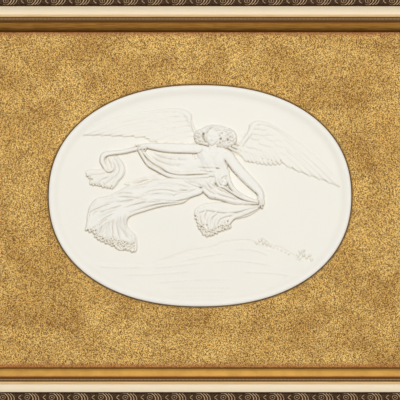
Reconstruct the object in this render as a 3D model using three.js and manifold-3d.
// A winged figure in low relief on an oval porcelain plaque, set in a mount board and framed for the wall.
// Millimetres, +Z up, +X to the right seen from the front, the front towards -Y and the back at y = 0.
// The origin lies on the flat back of the top rail, in its middle: the place that bears on the wall.
import * as THREE from "three";
import { mergeVertices } from "three/addons/utils/BufferGeometryUtils.js";
import Module from "manifold-3d";

const wasm = await Module();
wasm.setup();

// plaque
const PLAQUE_LENGTH = 400;
const PLAQUE_HEIGHT = 294;
const PLAQUE_THICKNESS = 13;
const OVAL_POWER = 2.2;
const OVAL_STEP = 15.1;
const RIM_WIDTH = 10.6;
const RIM_ROUND = 2.2;
const FIELD_DROP = 3.5;
const RELIEF_SCALE = 1;
const CARVING_CORNERS = 2450;
const NET_STEP = 1.5625;
const RIM_STANDS_PROUD = 2.5;
const CORE_BEHIND = 5;
const CORE_BEFORE = 30;

// mount board and backing board
const MARGIN_TOP = 71;
const MARGIN_BOTTOM = 80;
const MARGIN_SIDE = 75;
const OPENING_CLEARANCE = 0.6;
const BACKING_THICKNESS = 4;
const BACKING_RECESS = 3;

// slip and frame
const SLIP_VISIBLE = 12;
const SLIP_TUCK = 6;
const SLIP_EDGE = 1.6;
const SLIP_RISE = 4;
const FRAME_VISIBLE = 35;
const MOULDING_RISE = 7.8;
const MOTIF_PITCH = 32;
const MOTIF_LENGTH = 16.2;
const MOTIF_WIDTH = 5.8;
const MOTIF_HEIGHT = 1.3;
const GAP = 0.3;

// sizes that follow from those
const SIGHT_WIDTH = PLAQUE_LENGTH + 2 * MARGIN_SIDE;
const SIGHT_HEIGHT = PLAQUE_HEIGHT + MARGIN_TOP + MARGIN_BOTTOM;
const LIP = SLIP_VISIBLE;
const RABBET = SLIP_VISIBLE + SLIP_TUCK + GAP;
const OUTER = SLIP_VISIBLE + FRAME_VISIBLE;
const SIGHT_TOP = -(RABBET + OUTER) / 2;
const SIGHT_MIDDLE = SIGHT_TOP - SIGHT_HEIGHT / 2;
const PLAQUE_MIDDLE = SIGHT_TOP - MARGIN_TOP - PLAQUE_HEIGHT / 2;
const PLAQUE_BACK = BACKING_RECESS + BACKING_THICKNESS + GAP;
const PLAQUE_FRONT = PLAQUE_BACK + PLAQUE_THICKNESS;
const FIELD = PLAQUE_FRONT - FIELD_DROP;
const BOARD_FRONT = PLAQUE_FRONT - RIM_STANDS_PROUD;
const SLIP_BACK = BOARD_FRONT + GAP;
const LIP_BACK = SLIP_BACK + SLIP_EDGE + SLIP_RISE + GAP;

// squared drawing of the carving: 301 squares span the plaque, counted from the sheet's top left corner
const SQUARES = 301;
const SHEET_MIDDLE = [200, 196];
const CELLS = Math.round(PLAQUE_LENGTH / NET_STEP);
const OVAL_SEGMENTS = Math.round((Math.PI * (PLAQUE_LENGTH + PLAQUE_HEIGHT)) / 2 / OVAL_STEP);

// places that are faceted finely: x, y and reach in squares, and how much stricter they are
const FINE_PLACES = [[213, 138, 17, 2], [213, 165, 20, 1.3], [141, 148, 8, 1.5], [260, 202, 8, 1.5]];
const FINE_MOST = Math.max(...FINE_PLACES.map((place) => place[3]));

function smoothStep(x) {
  const t = Math.min(1, Math.max(0, x));
  return t * t * (3 - 2 * t);
}

// Catmull-Rom curve through points of any number of columns.
function curve(points, steps = 6, closed = false) {
  const n = points.length;
  const at = (k) => {
    if (closed) return points[(k + n) % n];
    if (k < 0) return points[0].map((v, c) => 2 * v - points[1][c]);
    if (k >= n) return points[n - 1].map((v, c) => 2 * v - points[n - 2][c]);
    return points[k];
  };
  const line = [];
  const spans = closed ? n : n - 1;
  for (let k = 0; k < spans; k++) {
    const [a, b, c, d] = [at(k - 1), at(k), at(k + 1), at(k + 2)];
    for (let s = 0; s < steps; s++) {
      const t = s / steps;
      line.push(b.map((v, i) => 0.5 * (2 * v + (c[i] - a[i]) * t
        + (2 * a[i] - 5 * v + 4 * c[i] - d[i]) * t * t
        + (3 * v - a[i] - 3 * c[i] + d[i]) * t * t * t)));
    }
  }
  if (!closed) line.push(points[n - 1]);
  return line;
}

// Distance to a line, the share of its length where it is nearest, and the line's further columns there.
function nearest(x, y, line, closed = false) {
  let best = Infinity;
  let share = 0;
  let place = 0;
  const spans = closed ? line.length : line.length - 1;
  for (let k = 0; k < spans; k++) {
    const a = line[k];
    const b = line[(k + 1) % line.length];
    const dx = b[0] - a[0];
    const dy = b[1] - a[1];
    const length = dx * dx + dy * dy || 1e-9;
    const t = Math.min(1, Math.max(0, ((x - a[0]) * dx + (y - a[1]) * dy) / length));
    const ex = x - a[0] - t * dx;
    const ey = y - a[1] - t * dy;
    const q = ex * ex + ey * ey;
    if (q < best) {
      best = q;
      share = t;
      place = k;
    }
  }
  const a = line[place];
  const b = line[(place + 1) % line.length];
  return {
    distance: Math.sqrt(best),
    along: (place + share) / spans,
    column: (c) => a[c] + (b[c] - a[c]) * share,
  };
}

function isInside(x, y, ring) {
  let odd = false;
  for (let k = 0, j = ring.length - 1; k < ring.length; j = k++) {
    const [ax, ay] = ring[k];
    const [bx, by] = ring[j];
    if ((ay > y) !== (by > y) && x < ((bx - ax) * (y - ay)) / (by - ay) + ax) odd = !odd;
  }
  return odd;
}

// The carving: a height in millimetres above the field for every corner of the square net.
class Carving {
  constructor() {
    this.size = CELLS + 1;
    this.heights = new Float32Array(this.size * this.size);
  }

  sheetPoint(i, j) {
    const x = SHEET_MIDDLE[0] + (i / CELLS - 0.5) * SQUARES;
    const y = SHEET_MIDDLE[1] + (j / CELLS - 0.5) * SQUARES * (PLAQUE_HEIGHT / PLAQUE_LENGTH);
    return [x, y];
  }

  // Calls back with every net corner within reach of a line.
  around(line, reach, visit) {
    const xs = line.map((p) => p[0]);
    const ys = line.map((p) => p[1]);
    const [x0, x1] = [Math.min(...xs) - reach, Math.max(...xs) + reach];
    const [y0, y1] = [Math.min(...ys) - reach, Math.max(...ys) + reach];
    for (let j = 0; j < this.size; j++) {
      for (let i = 0; i < this.size; i++) {
        const [x, y] = this.sheetPoint(i, j);
        if (x > x0 && x < x1 && y > y0 && y < y1) visit(x, y, j * this.size + i);
      }
    }
  }

  // A rounded limb through points given as x, y, half width and height of its crest.
  limb(points, foot = 0.4) {
    const line = curve(points, 5);
    const reach = Math.max(...points.map((p) => p[2])) + 1;
    this.around(line, reach, (x, y, k) => {
      const near = nearest(x, y, line);
      const u = near.distance / near.column(2);
      if (u >= 1) return;
      const crest = near.column(3);
      this.heights[k] = Math.max(this.heights[k], crest * (foot + (1 - foot) * Math.sqrt(1 - u * u)));
    });
  }

  // A sheet of cloth or feathers inside an outline, rounded down over the width of its edge.
  sheet(outline, level, edge = 2.5) {
    const ring = curve(outline, 4, true);
    this.around(ring, 0, (x, y, k) => {
      if (!isInside(x, y, ring)) return;
      const u = Math.min(1, nearest(x, y, ring, true).distance / edge);
      const height = level * (0.45 + 0.55 * Math.sqrt(u * (2 - u)));
      this.heights[k] = Math.max(this.heights[k], height);
    });
  }

  // A ridge along a line, or with a negative height a groove, added to what is already raised.
  fold(points, width, height) {
    const line = curve(points, 5);
    this.around(line, width, (x, y, k) => {
      if (this.heights[k] < 0.5) return;
      const near = nearest(x, y, line);
      const u = near.distance / width;
      if (u >= 1) return;
      const ends = smoothStep(near.along / 0.15) * smoothStep((1 - near.along) / 0.15);
      this.heights[k] += height * 0.5 * (1 + Math.cos(Math.PI * u)) * ends;
    });
  }
}

function carveLandscape(carving) {
  carving.sheet([[84, 268], [120, 265], [150, 264], [170, 259], [190, 252], [212, 248], [235, 242],
    [252, 242], [270, 247], [290, 255], [316, 263], [300, 300], [200, 312], [100, 300]], 0.9, 3);
  for (const [x, y, r] of [[258, 243, 3.2], [266, 243, 3.6], [300, 257, 4], [308, 254, 4.6]]) {
    carving.limb([[x, y, r, 2], [x + 1, y + 2, r, 1.6]]);
  }
}

function carveWings(carving) {
  carving.sheet([[196, 147], [190, 128], [190, 112], [178, 109], [150, 111], [120, 120], [83, 135.5],
    [110, 137], [146, 137], [152, 141], [150, 144], [176, 147]], 2.4, 2);
  carving.limb([[197, 142, 5, 4.4], [192, 124, 5, 4.6], [184, 113.5, 4, 4.4], [165, 111.5, 3.6, 3.8],
    [135, 117.5, 2.6, 3.2], [90, 133.5, 1.4, 2]]);
  carving.sheet([[232, 152], [237, 137], [247, 126], [258, 121], [278, 129], [303, 151], [339, 187],
    [312, 178], [282, 163], [268, 165], [256, 166.5], [247, 166.5], [236, 158]], 2.4, 2);
  carving.limb([[238, 150, 5, 4.4], [244, 136, 5, 4.6], [254, 125.5, 4.4, 4.4], [270, 127.5, 3.8, 3.8],
    [300, 151, 2.4, 3.2], [333, 181.5, 1.4, 2]]);
  const quills = [
    [[98, 132.5], [150, 118]], [[106, 134.5], [156, 125]], [[120, 135.5], [166, 131.5]],
    [[150, 141.5], [182, 138]], [[250, 138], [328, 181]], [[256, 146], [314, 177]], [[252, 154], [292, 167]],
    [[242, 158], [272, 163]],
  ];
  for (const [from, to] of quills) {
    carving.fold([from, [(from[0] + to[0]) / 2, (from[1] + to[1]) / 2 + 0.6], to], 2, -0.8);
  }
}

function carveDrapery(carving) {
  // flying ends of the mantle
  carving.sheet([[139, 146], [128, 148.5], [105, 151], [99, 158], [103, 167], [88, 170], [87, 175], [93, 184],
    [112, 188.5], [124, 177], [125.5, 170], [118, 157], [140, 152]], 2.8);
  carving.limb([[141, 149, 2.6, 5], [130, 151, 3, 4.6], [113, 154, 3.2, 4.4], [104, 156, 3, 4],
    [106, 165, 3, 3.6], [110, 171, 3.4, 3.4]]);
  carving.limb([[116, 159, 2.6, 4], [121, 168, 3, 4.2], [118, 178, 3.2, 4], [110, 184, 3, 3.8],
    [97, 181, 3, 3.6]]);
  carving.sheet([[212, 180], [222, 188], [240, 198], [261, 203], [258, 210], [246, 217], [229, 221],
    [231, 228], [222, 230], [208, 236], [200, 229], [195, 213], [203, 203], [199, 190]], 3.2);
  carving.limb([[214, 180, 4, 6.8], [222, 188, 3.6, 6], [238, 198, 3.2, 5.2], [258, 204, 2.4, 6]]);
  carving.limb([[259, 208, 2, 5], [246, 213, 3, 4.8], [230, 215.5, 3, 4.6], [214, 211, 3, 4.6],
    [203, 209, 2.6, 4]]);
  carving.limb([[201, 212, 2.4, 4.2], [206, 224, 2.6, 4.4], [208, 233, 2.4, 3.8]]);
  carving.limb([[213, 214, 2.4, 4.4], [218, 223, 2.8, 4.6], [226, 227, 2.2, 3.8]]);
  // cloth stretched between the hands
  carving.sheet([[144, 147], [160, 149], [195, 152], [206, 164], [216, 178], [200, 179], [170, 178.5],
    [154, 169], [141, 153]], 3);
  carving.limb([[141, 151, 2.4, 5], [147, 161, 2.4, 5], [156, 169, 2.6, 5.2], [171, 176.5, 2.6, 5.6],
    [190, 178.5, 2.6, 6], [214, 180, 3, 7]]);
  carving.fold([[148, 153], [170, 163], [206, 166]], 2.4, 1.4);
  carving.fold([[146, 157], [168, 170], [206, 172]], 2.4, 1.4);
  // skirt over the trailing legs
  carving.sheet([[214, 178], [170, 178], [150, 180], [130, 185], [112, 193], [97, 199], [90, 208], [87, 229],
    [98, 238], [112, 245], [136, 251], [137, 238], [129, 229], [128, 221], [134, 215], [168, 205.5],
    [184, 202], [198, 191], [212, 188]], 3.4);
  carving.limb([[210, 184, 8, 7.6], [186, 187, 9, 7.4], [158, 191, 8.6, 6.6], [128, 201, 8, 5.6],
    [106, 214, 7.6, 4.8], [98, 230, 6.6, 4]]);
  carving.limb([[196, 188, 6, 6.2], [172, 198, 6.6, 6], [146, 205, 6.6, 5.6], [124, 214, 6.4, 5],
    [118, 234, 7, 4.6], [122, 245, 6, 4]]);
  const creases = [
    [[204, 183], [172, 184], [140, 192]], [[200, 188], [168, 191], [130, 205]],
    [[186, 194], [158, 200], [124, 212]], [[140, 190], [116, 201], [98, 214]],
    [[126, 206], [106, 218], [98, 234]], [[122, 216], [112, 226], [108, 242]],
    [[126, 214], [121, 228], [124, 246]],
  ];
  for (const crease of creases) carving.fold(crease, 2.6, -1.5);
}

function carveBody(carving) {
  carving.limb([[212, 151, 13, 6.4], [213, 160, 12.5, 8], [215, 170, 10, 7.8], [218, 179, 8.6, 7.6]]);
  carving.limb([[206, 160, 6.2, 9.8], [206.5, 161.5, 6.2, 9.8]]);
  carving.limb([[219, 161, 5.8, 9.6], [219.5, 162.5, 5.8, 9.6]]);
  carving.limb([[199, 149, 5, 8.6], [184, 148.5, 4.2, 8.2], [166, 148, 3.6, 7.8], [148, 147.5, 2.8, 7],
    [142, 148.5, 3, 6.8]], 0.3);
  carving.limb([[142, 147.5, 3.2, 6.8], [138, 149.5, 2.6, 6]], 0.3);
  carving.limb([[229, 155, 5.2, 8.6], [236, 166, 4.9, 8.8], [244.5, 177, 4.4, 8.6], [252, 187, 3.6, 8.2],
    [258.5, 196, 2.8, 7.6], [260, 202, 3, 7.4]], 0.3);
}

function carveHead(carving) {
  carving.limb([[213, 154, 5, 8.2], [212, 144, 4.6, 9]], 0.6);
  carving.limb([[198, 141, 4, 8], [198, 134, 4.6, 9], [205, 129.5, 5, 10.4], [214, 128.5, 5.4, 11.4],
    [223, 130, 6, 11.4], [228, 137, 6.6, 10.6], [226, 145, 5, 9.4], [238, 147, 3, 6.4]], 0.5);
  carving.limb([[212, 134, 8.4, 11.6], [211.4, 142, 5.2, 11]], 0.62);
  carving.fold([[212, 133.5], [210.4, 137], [209.8, 139.6]], 1.6, 1.4);
  carving.fold([[205.4, 136.4], [208, 136.8], [210, 136.2]], 1.5, -0.8);
  carving.fold([[213.2, 135.6], [216, 135.4], [218.6, 134]], 1.5, -0.8);
  carving.fold([[208, 142.6], [210.4, 143], [213, 142.4]], 1.3, 0.6);
}

function carveAll() {
  const carving = new Carving();
  carveLandscape(carving);
  carveWings(carving);
  carveDrapery(carving);
  carveBody(carving);
  carveHead(carving);
  return carving;
}

// A mesh of the square net that takes in, one after another, the net corner where it is furthest from the
// carving. Each corner taken in keeps the Delaunay rule: none lies inside the circle through another triangle.
class FittedNet {
  constructor(carving) {
    this.carving = carving;
    this.size = carving.size;
    this.corners = [];
    this.triangles = [];
    this.acrossEdge = new Map();
    for (const [i, j] of [[0, 0], [CELLS, 0], [CELLS, CELLS], [0, CELLS]]) this.corners.push([i, j]);
    this.addTriangle(0, 1, 2);
    this.addTriangle(0, 2, 3);
  }

  height(k) {
    const [i, j] = this.corners[k];
    return this.carving.heights[j * this.size + i];
  }

  edgeKey(a, b) {
    return a * 65536 + b;
  }

  turn(a, b, x, y) {
    return (b[0] - a[0]) * (y - a[1]) - (b[1] - a[1]) * (x - a[0]);
  }

  addTriangle(a, b, c) {
    const triangle = { corners: [a, b, c], alive: true, error: 0, worst: null };
    for (const [p, q] of [[a, b], [b, c], [c, a]]) this.acrossEdge.set(this.edgeKey(p, q), triangle);
    this.triangles.push(triangle);
    this.findWorst(triangle);
  }

  // The net corner inside a triangle that its flat misses most, counted more strictly in the fine places.
  findWorst(triangle) {
    const [a, b, c] = triangle.corners.map((k) => this.corners[k]);
    const [ha, hb, hc] = triangle.corners.map((k) => this.height(k));
    const area = this.turn(a, b, c[0], c[1]);
    const [i0, i1] = [Math.min(a[0], b[0], c[0]), Math.max(a[0], b[0], c[0])];
    const [j0, j1] = [Math.min(a[1], b[1], c[1]), Math.max(a[1], b[1], c[1])];
    for (let j = j0; j <= j1; j++) {
      for (let i = i0; i <= i1; i++) {
        const wa = this.turn(b, c, i, j) / area;
        const wb = this.turn(c, a, i, j) / area;
        const wc = 1 - wa - wb;
        if (wa < 0 || wb < 0 || wc < -1e-9) continue;
        const gap = Math.abs(wa * ha + wb * hb + wc * hc - this.carving.heights[j * this.size + i]);
        if (gap * FINE_MOST <= triangle.error) continue;
        const error = gap * strictness(this.carving, i, j);
        if (error > triangle.error) {
          triangle.error = error;
          triangle.worst = [i, j];
        }
      }
    }
  }

  circleHolds(triangle, i, j) {
    const away = triangle.corners.map((k) => [this.corners[k][0] - i, this.corners[k][1] - j]);
    const [[ax, ay], [bx, by], [cx, cy]] = away;
    const a = ax * ax + ay * ay;
    const b = bx * bx + by * by;
    const c = cx * cx + cy * cy;
    return ax * (by * c - b * cy) - ay * (bx * c - b * cx) + a * (bx * cy - by * cx) > 0;
  }

  takeIn(start) {
    const [i, j] = start.worst;
    const hollow = [start];
    start.alive = false;
    const border = [];
    for (const triangle of hollow) {
      const [a, b, c] = triangle.corners;
      for (const [p, q] of [[a, b], [b, c], [c, a]]) {
        const other = this.acrossEdge.get(this.edgeKey(q, p));
        if (other && other.alive && this.circleHolds(other, i, j)) {
          other.alive = false;
          hollow.push(other);
        } else if (!other || other.alive) {
          border.push([p, q]);
        }
      }
    }
    const added = this.corners.length;
    this.corners.push([i, j]);
    for (const triangle of hollow) {
      const [a, b, c] = triangle.corners;
      for (const [p, q] of [[a, b], [b, c], [c, a]]) this.acrossEdge.delete(this.edgeKey(p, q));
    }
    for (const [p, q] of border) {
      if (this.turn(this.corners[p], this.corners[q], i, j) > 0) this.addTriangle(p, q, added);
    }
  }

  fit(cornerCount) {
    while (this.corners.length < cornerCount) {
      this.triangles = this.triangles.filter((triangle) => triangle.alive);
      let worst = this.triangles[0];
      for (const triangle of this.triangles) {
        if (triangle.error > worst.error) worst = triangle;
      }
      if (worst.error <= 0) break;
      this.takeIn(worst);
    }
    this.triangles = this.triangles.filter((triangle) => triangle.alive);
  }
}

// How strictly a net corner is followed.
function strictness(carving, i, j) {
  const [x, y] = carving.sheetPoint(i, j);
  const place = FINE_PLACES.find(([px, py, reach]) => Math.hypot(x - px, y - py) < reach);
  return place ? place[3] : 1;
}

// The field with its carving as a closed slab.
function carvedSlab() {
  const net = new FittedNet(carveAll());
  net.fit(CARVING_CORNERS);
  const positions = [];
  net.corners.forEach(([i, j], k) => {
    const x = (i / CELLS - 0.5) * PLAQUE_LENGTH;
    const z = PLAQUE_MIDDLE - (j / CELLS - 0.5) * PLAQUE_HEIGHT;
    positions.push(x, -(FIELD + net.height(k) * RELIEF_SCALE), z);
  });
  const faces = net.triangles.map((triangle) => [...triangle.corners]);
  return closeBehind(positions, faces, PLAQUE_BACK);
}

// Closes an open sheet facing forward with walls from its border straight back and a flat behind.
function closeBehind(positions, faces, back) {
  const border = new Map();
  for (const [a, b, c] of faces) {
    for (const [p, q] of [[a, b], [b, c], [c, a]]) {
      if (!border.delete(q + "," + p)) border.set(p + "," + q, [p, q]);
    }
  }
  const behind = new Map();
  const twin = (p) => {
    if (!behind.has(p)) {
      behind.set(p, positions.length / 3);
      positions.push(positions[3 * p], -back, positions[3 * p + 2]);
    }
    return behind.get(p);
  };
  const centre = positions.length / 3;
  positions.push(0, -back, PLAQUE_MIDDLE);
  const closed = [...faces];
  for (const [p, q] of border.values()) {
    closed.push([q, p, twin(p)], [q, twin(p), twin(q)], [twin(q), twin(p), centre]);
  }
  return facing(positions, closed.flat());
}

// A geometry from corners and faces, turned inside out if its faces look inwards.
function facing(positions, index) {
  let volume = 0;
  const at = (k) => new THREE.Vector3(positions[3 * k], positions[3 * k + 1], positions[3 * k + 2]);
  for (let k = 0; k < index.length; k += 3) {
    volume += at(index[k]).dot(at(index[k + 1]).cross(at(index[k + 2])));
  }
  if (volume < 0) {
    for (let k = 0; k < index.length; k += 3) {
      [index[k], index[k + 1]] = [index[k + 1], index[k]];
    }
  }
  const geometry = new THREE.BufferGeometry();
  geometry.setAttribute("position", new THREE.Float32BufferAttribute(positions, 3));
  geometry.setIndex(index);
  return geometry;
}

function toManifold(source) {
  const geometry = source.clone();
  geometry.deleteAttribute("normal");
  geometry.deleteAttribute("uv");
  const merged = mergeVertices(geometry, 1e-4);
  return new wasm.Manifold(new wasm.Mesh({
    numProp: 3,
    vertProperties: new Float32Array(merged.attributes.position.array),
    triVerts: new Uint32Array(merged.index.array),
  }));
}

function fromManifold(solid) {
  const mesh = solid.getMesh();
  const positions = [];
  for (let k = 0; k < mesh.vertProperties.length; k += mesh.numProp) {
    positions.push(mesh.vertProperties[k], mesh.vertProperties[k + 1], mesh.vertProperties[k + 2]);
  }
  const geometry = new THREE.BufferGeometry();
  geometry.setAttribute("position", new THREE.Float32BufferAttribute(positions, 3));
  geometry.setIndex(Array.from(mesh.triVerts));
  return geometry;
}

// A point of the plaque's oval, drawn in from its edge by the inset.
function ovalPoint(turn, inset) {
  const c = Math.cos(turn);
  const s = Math.sin(turn);
  const x = Math.sign(c) * Math.abs(c) ** (2 / OVAL_POWER) * (PLAQUE_LENGTH / 2 - inset);
  const z = Math.sign(s) * Math.abs(s) ** (2 / OVAL_POWER) * (PLAQUE_HEIGHT / 2 - inset);
  return [x, z];
}

function ovalPoints(inset) {
  const turn = (k) => ((k + 0.5) / OVAL_SEGMENTS) * 2 * Math.PI;
  return Array.from({ length: OVAL_SEGMENTS }, (unused, k) => ovalPoint(turn(k), inset));
}

// A closed ring round the oval whose section is a list of inset and depth.
function ovalRing(section) {
  const positions = [];
  const index = [];
  const count = section.length;
  for (const [inset, depth] of section) {
    for (const [x, z] of ovalPoints(inset)) positions.push(x, -depth, PLAQUE_MIDDLE + z);
  }
  for (let r = 0; r < count; r++) {
    for (let k = 0; k < OVAL_SEGMENTS; k++) {
      const a = r * OVAL_SEGMENTS + k;
      const b = r * OVAL_SEGMENTS + ((k + 1) % OVAL_SEGMENTS);
      const c = ((r + 1) % count) * OVAL_SEGMENTS + k;
      const d = ((r + 1) % count) * OVAL_SEGMENTS + ((k + 1) % OVAL_SEGMENTS);
      index.push(a, b, c, b, d, c);
    }
  }
  return facing(positions, index);
}

// A prism through the thickness, from a flat outline and holes in it.
function plate(outline, holes, back, front, middle) {
  const shape = new THREE.Shape(outline.map(([x, z]) => new THREE.Vector2(x, z)));
  for (const hole of holes) shape.holes.push(new THREE.Path(hole.map(([x, z]) => new THREE.Vector2(x, z))));
  const settings = { depth: front - back, bevelEnabled: false, curveSegments: 1 };
  const geometry = new THREE.ExtrudeGeometry(shape, settings);
  geometry.rotateX(Math.PI / 2);
  geometry.translate(0, -back, middle);
  return mergeVertices(stripped(geometry), 1e-4);
}

function stripped(geometry) {
  geometry.deleteAttribute("normal");
  geometry.deleteAttribute("uv");
  return geometry;
}

function plaqueGeometry() {
  const rimInner = RIM_WIDTH + 1.6;
  const rim = ovalRing([
    [0, PLAQUE_BACK],
    [0, PLAQUE_FRONT - RIM_ROUND],
    [RIM_ROUND * 0.35, PLAQUE_FRONT - RIM_ROUND * 0.35],
    [RIM_ROUND, PLAQUE_FRONT],
    [RIM_WIDTH * 0.72, PLAQUE_FRONT - 0.3],
    [RIM_WIDTH, PLAQUE_FRONT - FIELD_DROP * 0.6],
    [rimInner, FIELD - 0.15],
    [rimInner, PLAQUE_BACK],
  ]);
  const back = PLAQUE_BACK - CORE_BEHIND;
  const core = plate(ovalPoints(RIM_WIDTH * 0.5), [], back, PLAQUE_FRONT + CORE_BEFORE, PLAQUE_MIDDLE);
  const carved = toManifold(carvedSlab()).intersect(toManifold(core));
  return fromManifold(toManifold(rim).add(carved));
}

// The triangles that fill a flat outline, each turning the same way as the outline does.
function capTriangles(outline) {
  const flat = outline.map(([u, v]) => new THREE.Vector2(u, v));
  const way = Math.sign(THREE.ShapeUtils.area(flat));
  return THREE.ShapeUtils.triangulateShape(flat, []).map(([a, b, c]) => {
    const turn = Math.sign(THREE.ShapeUtils.area([flat[a], flat[b], flat[c]]));
    return turn === way ? [a, b, c] : [a, c, b];
  });
}

// A straight rail lying along X above the sight edge; its ends are mitred to meet its neighbours.
function railGeometry(section, halfSight) {
  const positions = [];
  const index = [];
  const count = section.length;
  for (const side of [-1, 1]) {
    for (const [out, depth] of section) positions.push(side * (halfSight + out - GAP * 0.71), -depth, out);
  }
  for (let k = 0; k < count; k++) {
    const next = (k + 1) % count;
    index.push(k, next, k + count, next, next + count, k + count);
  }
  for (const [a, b, c] of capTriangles(section)) index.push(a, c, b, a + count, b + count, c + count);
  return facing(positions, index);
}

const ORNAMENT_TOP = LIP_BACK + MOULDING_RISE;
const ORNAMENT_MIDDLE = SLIP_VISIBLE + FRAME_VISIBLE * 0.76;

function frameSection() {
  const out = (share) => SLIP_VISIBLE + FRAME_VISIBLE * share;
  const deep = (share) => LIP_BACK + (ORNAMENT_TOP - LIP_BACK) * share;
  return [
    [RABBET, 0],
    [RABBET, LIP_BACK],
    [LIP, LIP_BACK],
    [LIP, deep(0.2)],
    [out(0.05), deep(0.34)],
    [out(0.11), deep(0.42)],
    [out(0.17), deep(0.36)],
    [out(0.18), deep(0.5)],
    [out(0.24), deep(0.5)],
    [out(0.25), deep(0.36)],
    [out(0.36), deep(0.38)],
    [out(0.46), deep(0.52)],
    [out(0.54), deep(0.78)],
    [out(0.545), deep(0.9)],
    [out(0.59), deep(0.9)],
    [out(0.6), deep(0.74)],
    [out(0.65), deep(0.94)],
    [out(0.68), deep(1)],
    [out(0.86), deep(1)],
    [out(0.93), deep(0.84)],
    [out(0.98), deep(0.72)],
    [OUTER, deep(0.5)],
    [OUTER, 0],
  ];
}

function slipSection() {
  const front = SLIP_BACK + SLIP_EDGE + SLIP_RISE;
  return [
    [0, SLIP_BACK],
    [0, SLIP_BACK + SLIP_EDGE],
    [SLIP_VISIBLE * 0.1, SLIP_BACK + SLIP_EDGE + SLIP_RISE * 0.22],
    [SLIP_VISIBLE * 0.55, SLIP_BACK + SLIP_EDGE + SLIP_RISE * 0.5],
    [SLIP_VISIBLE * 0.92, front],
    [SLIP_VISIBLE + SLIP_TUCK, front],
    [SLIP_VISIBLE + SLIP_TUCK, SLIP_BACK],
  ];
}

// A small raised shape of the running ornament: a flat outline that narrows as it rises.
function boss(outline, along, shrink) {
  const positions = [];
  const index = [];
  const n = outline.length;
  const middle = outline.reduce((sum, p) => sum + p[0] / n, 0);
  for (const [level, scale] of [[-0.6, 1], [MOTIF_HEIGHT, shrink]]) {
    for (const [x, out] of outline) {
      const across = along + middle + (x - middle) * scale;
      positions.push(across, -(ORNAMENT_TOP + level), ORNAMENT_MIDDLE + out * scale);
    }
  }
  for (let k = 0; k < n; k++) {
    const next = (k + 1) % n;
    index.push(k, next, k + n, next, next + n, k + n);
  }
  for (const [a, b, c] of capTriangles(outline)) index.push(a, c, b, a + n, b + n, c + n);
  return facing(positions, index);
}

function ornamentedRail(halfSight) {
  const long = MOTIF_LENGTH / 2;
  const wide = MOTIF_WIDTH / 2;
  const sixth = Math.PI / 3;
  const eye = Array.from({ length: 6 }, (unused, k) => [
    -0.64 * long + 0.35 * long * Math.cos(k * sixth),
    0.97 * wide * Math.sin(k * sixth),
  ]);
  const corners = [[0.12, -1], [0.5, 0], [0.12, 1], [0.54, 1], [1, 0], [0.54, -1]];
  const crescent = corners.map(([u, v]) => [u * long, v * wide]);
  const last = halfSight + ORNAMENT_MIDDLE - wide - long - 1;
  const count = 2 * Math.floor(last / MOTIF_PITCH) + 1;
  let rail = toManifold(railGeometry(frameSection(), halfSight));
  const raised = [];
  for (let k = 0; k < count; k++) {
    const along = (k - (count - 1) / 2) * MOTIF_PITCH;
    raised.push(toManifold(boss(eye, along, 0.62)), toManifold(boss(crescent, along, 0.7)));
  }
  rail = rail.add(wasm.Manifold.union(raised));
  return fromManifold(rail);
}

// Turns a rail lying above the sight opening round to one of its four sides.
function onSide(geometry, side) {
  const turns = { top: 0, right: 1, bottom: 2, left: 3 };
  const reach = side === "top" || side === "bottom" ? SIGHT_HEIGHT / 2 : SIGHT_WIDTH / 2;
  const placed = geometry.clone();
  placed.translate(0, 0, reach);
  placed.rotateY((turns[side] * Math.PI) / 2);
  placed.translate(0, 0, SIGHT_MIDDLE);
  return placed;
}

const group = new THREE.Group();

function addPiece(name, geometry, colour, roughness, metalness) {
  const clean = mergeVertices(stripped(geometry), 1e-4);
  clean.computeVertexNormals();
  const material = new THREE.MeshStandardMaterial({ color: colour, roughness, metalness });
  material.name = name;
  const mesh = new THREE.Mesh(clean, material);
  mesh.name = name;
  group.add(mesh);
}

function rectangle(halfWidth, halfHeight) {
  return [[-1, -1], [1, -1], [1, 1], [-1, 1]].map(([u, v]) => [u * halfWidth, v * halfHeight]);
}

addPiece("plaque", plaqueGeometry(), 0xf1eee3, 0.55, 0);

const tucked = SLIP_VISIBLE + SLIP_TUCK;
const boardOutline = rectangle(SIGHT_WIDTH / 2 + tucked, SIGHT_HEIGHT / 2 + tucked);
const opening = ovalPoints(-OPENING_CLEARANCE).map(([x, z]) => [x, z + PLAQUE_MIDDLE - SIGHT_MIDDLE]);
const board = plate(boardOutline, [opening], PLAQUE_BACK, BOARD_FRONT, SIGHT_MIDDLE);
addPiece("mount_board", board, 0xbe9658, 0.5, 0.2);
const backing = plate(boardOutline, [], BACKING_RECESS, BACKING_RECESS + BACKING_THICKNESS, SIGHT_MIDDLE);
addPiece("backing_board", backing, 0x8a6a48, 0.85, 0);

for (const side of ["top", "bottom", "left", "right"]) {
  const half = side === "top" || side === "bottom" ? SIGHT_WIDTH / 2 : SIGHT_HEIGHT / 2;
  addPiece("slip_" + side, onSide(railGeometry(slipSection(), half), side), 0xb08040, 0.35, 0.8);
  addPiece("frame_" + side, onSide(ornamentedRail(half), side), 0x7a5f42, 0.45, 0.3);
}

export default group;
